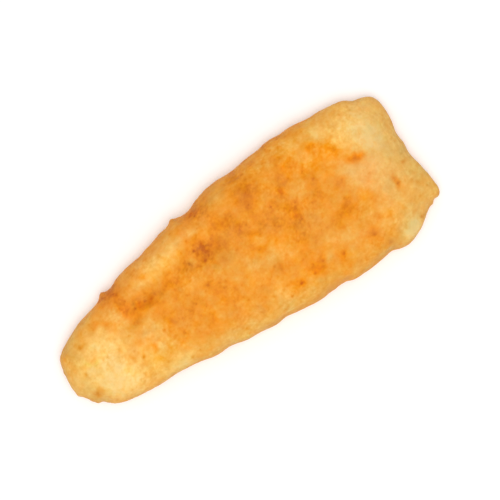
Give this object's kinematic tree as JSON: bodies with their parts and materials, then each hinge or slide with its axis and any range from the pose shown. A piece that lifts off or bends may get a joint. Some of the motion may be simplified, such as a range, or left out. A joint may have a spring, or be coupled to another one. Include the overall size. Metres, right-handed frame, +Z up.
{
  "type": "fried fish fillet",
  "caption": "Battered and fried white fish fillet, tapered from a blunt wide end to a rounded narrow end, with a low domed top and a flat underside to lie on.",
  "frame": {"origin": "middle of the footprint, on the surface that the fillet lies on", "axes": "+X along the fillet from its narrow tail end towards its blunt wide end, +Y across it, +Z up out of the browned top"},
  "size_m": [0.17, 0.0678, 0.02],
  "materials": {
    "fried_batter": "matte fried batter, golden orange with cream and brown patches"
  },
  "bodies": {
    "root": {"fish_fillet": "fried_batter"}
  },
  "joints": []
}
